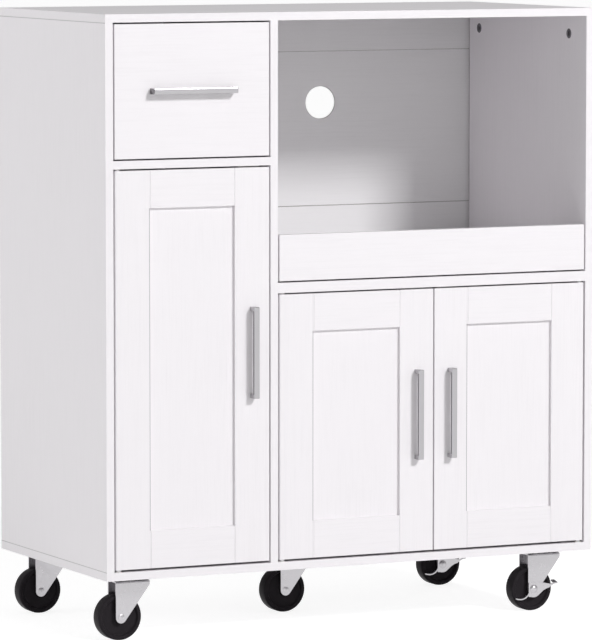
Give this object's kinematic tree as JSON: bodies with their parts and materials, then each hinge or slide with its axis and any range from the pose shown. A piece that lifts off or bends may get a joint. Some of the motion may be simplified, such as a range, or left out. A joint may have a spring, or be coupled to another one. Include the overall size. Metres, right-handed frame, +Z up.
{
  "type": "microwave cart",
  "caption": "Rolling kitchen cabinet on swivel casters with an open microwave bay over a pull-out tray, a drawer, and framed cupboard doors with bar handles.",
  "frame": {"origin": "on the floor, at the middle of the outer box seen from above", "axes": "+Z up, front with drawer, doors and handles towards -Y, drawer side towards -X"},
  "size_m": [0.8, 0.415, 0.9135],
  "materials": {
    "white_board": "white coated board, smooth satin",
    "thin_board": "thin white faced board, satin",
    "handle_metal": "satin nickel",
    "zinc_steel": "bright zinc plated",
    "cam_metal": "dull dark cast metal",
    "white_nylon": "matt",
    "wheel_plastic": "black, satin"
  },
  "bodies": {
    "cabinet": {"top_panel": "white_board", "bottom_panel": "white_board", "left_side_panel": "white_board", "right_side_panel": "white_board", "partition": "white_board", "drawer_divider": "white_board", "microwave_shelf": "white_board", "back_board_upper": "thin_board", "back_board_cable": "thin_board", "back_board_lower": "thin_board", "back_board_left": "thin_board", "tall_cupboard_shelf": "white_board", "wide_cupboard_shelf": "white_board", "shelf_pins": "zinc_steel", "cam_locks": "cam_metal", "cam_bolts": "zinc_steel", "pivot_bushes": "white_nylon", "magnetic_catches": "white_nylon", "cabinet_runners": "zinc_steel", "caster_plates": "zinc_steel", "caster_screws": "zinc_steel"},
    "drawer": {"drawer_front": "white_board", "drawer_sides": "white_board", "drawer_back": "white_board", "drawer_bottom": "thin_board", "drawer_handle": "handle_metal", "drawer_screws": "zinc_steel", "drawer_runners": "zinc_steel"},
    "tray": {"tray_front": "white_board", "tray_board": "white_board", "tray_runners": "zinc_steel"},
    "tall_door": {"tall_door_frame": "white_board", "tall_door_panel": "white_board", "tall_door_handle": "handle_metal", "tall_door_fittings": "zinc_steel"},
    "left_door": {"left_door_frame": "white_board", "left_door_panel": "white_board", "left_door_handle": "handle_metal", "left_door_fittings": "zinc_steel"},
    "right_door": {"right_door_frame": "white_board", "right_door_panel": "white_board", "right_door_handle": "handle_metal", "right_door_fittings": "zinc_steel"},
    "front_left_swivel": {"front_left_fork": "zinc_steel", "front_left_axle": "zinc_steel"},
    "front_left_wheel": {"front_left_wheel": "wheel_plastic"},
    "front_right_swivel": {"front_right_fork": "zinc_steel", "front_right_axle": "zinc_steel"},
    "front_right_wheel": {"front_right_wheel": "wheel_plastic"},
    "front_right_brake": {"front_right_brake": "zinc_steel"},
    "centre_swivel": {"centre_fork": "zinc_steel", "centre_axle": "zinc_steel"},
    "centre_wheel": {"centre_wheel": "wheel_plastic"},
    "rear_left_swivel": {"rear_left_fork": "zinc_steel", "rear_left_axle": "zinc_steel"},
    "rear_left_wheel": {"rear_left_wheel": "wheel_plastic"},
    "rear_right_swivel": {"rear_right_fork": "zinc_steel", "rear_right_axle": "zinc_steel"},
    "rear_right_wheel": {"rear_right_wheel": "wheel_plastic"},
    "rear_right_brake": {"rear_right_brake": "zinc_steel"}
  },
  "joints": [
    {"name": "drawer_slide", "type": "slide", "parent": "cabinet", "child": "drawer", "axis": [0, -1, 0], "range_m": [0, 0.26]},
    {"name": "tray_slide", "type": "slide", "parent": "cabinet", "child": "tray", "axis": [0, -1, 0], "range_m": [0, 0.25]},
    {"name": "tall_door_hinge", "type": "hinge", "parent": "cabinet", "child": "tall_door", "pos_m": [-0.3796, -0.1865, 0.3935], "axis": [0, 0, -1], "range_deg": [0, 100]},
    {"name": "left_door_hinge", "type": "hinge", "parent": "cabinet", "child": "left_door", "pos_m": [-0.1171, -0.1865, 0.3025], "axis": [0, 0, -1], "range_deg": [0, 100]},
    {"name": "right_door_hinge", "type": "hinge", "parent": "cabinet", "child": "right_door", "pos_m": [0.3796, -0.1865, 0.3025], "axis": [0, 0, 1], "range_deg": [0, 100]},
    {"name": "front_left_swivel_turn", "type": "hinge", "parent": "cabinet", "child": "front_left_swivel", "pos_m": [-0.341, -0.1425, 0.086], "axis": [0, 0, 1], "continuous": true},
    {"name": "front_left_wheel_spin", "type": "hinge", "parent": "front_left_swivel", "child": "front_left_wheel", "pos_m": [-0.362, -0.1425, 0.034], "axis": [0, 1, 0], "continuous": true},
    {"name": "front_right_swivel_turn", "type": "hinge", "parent": "cabinet", "child": "front_right_swivel", "pos_m": [0.341, -0.1425, 0.086], "axis": [0, 0, 1], "continuous": true},
    {"name": "front_right_wheel_spin", "type": "hinge", "parent": "front_right_swivel", "child": "front_right_wheel", "pos_m": [0.32, -0.1425, 0.034], "axis": [0, 1, 0], "continuous": true},
    {"name": "front_right_brake_lever", "type": "hinge", "parent": "front_right_swivel", "child": "front_right_brake", "pos_m": [0.32, -0.1585, 0.034], "axis": [0, 1, 0], "range_deg": [0, 20]},
    {"name": "centre_swivel_turn", "type": "hinge", "parent": "cabinet", "child": "centre_swivel", "pos_m": [-0.003, 0.0075, 0.086], "axis": [0, 0, 1], "continuous": true},
    {"name": "centre_wheel_spin", "type": "hinge", "parent": "centre_swivel", "child": "centre_wheel", "pos_m": [-0.024, 0.0075, 0.034], "axis": [0, 1, 0], "continuous": true},
    {"name": "rear_left_swivel_turn", "type": "hinge", "parent": "cabinet", "child": "rear_left_swivel", "pos_m": [-0.341, 0.1575, 0.086], "axis": [0, 0, 1], "continuous": true},
    {"name": "rear_left_wheel_spin", "type": "hinge", "parent": "rear_left_swivel", "child": "rear_left_wheel", "pos_m": [-0.362, 0.1575, 0.034], "axis": [0, 1, 0], "continuous": true},
    {"name": "rear_right_swivel_turn", "type": "hinge", "parent": "cabinet", "child": "rear_right_swivel", "pos_m": [0.341, 0.1575, 0.086], "axis": [0, 0, 1], "continuous": true},
    {"name": "rear_right_wheel_spin", "type": "hinge", "parent": "rear_right_swivel", "child": "rear_right_wheel", "pos_m": [0.32, 0.1575, 0.034], "axis": [0, 1, 0], "continuous": true},
    {"name": "rear_right_brake_lever", "type": "hinge", "parent": "rear_right_swivel", "child": "rear_right_brake", "pos_m": [0.32, 0.1415, 0.034], "axis": [0, 1, 0], "range_deg": [0, 20]}
  ]
}
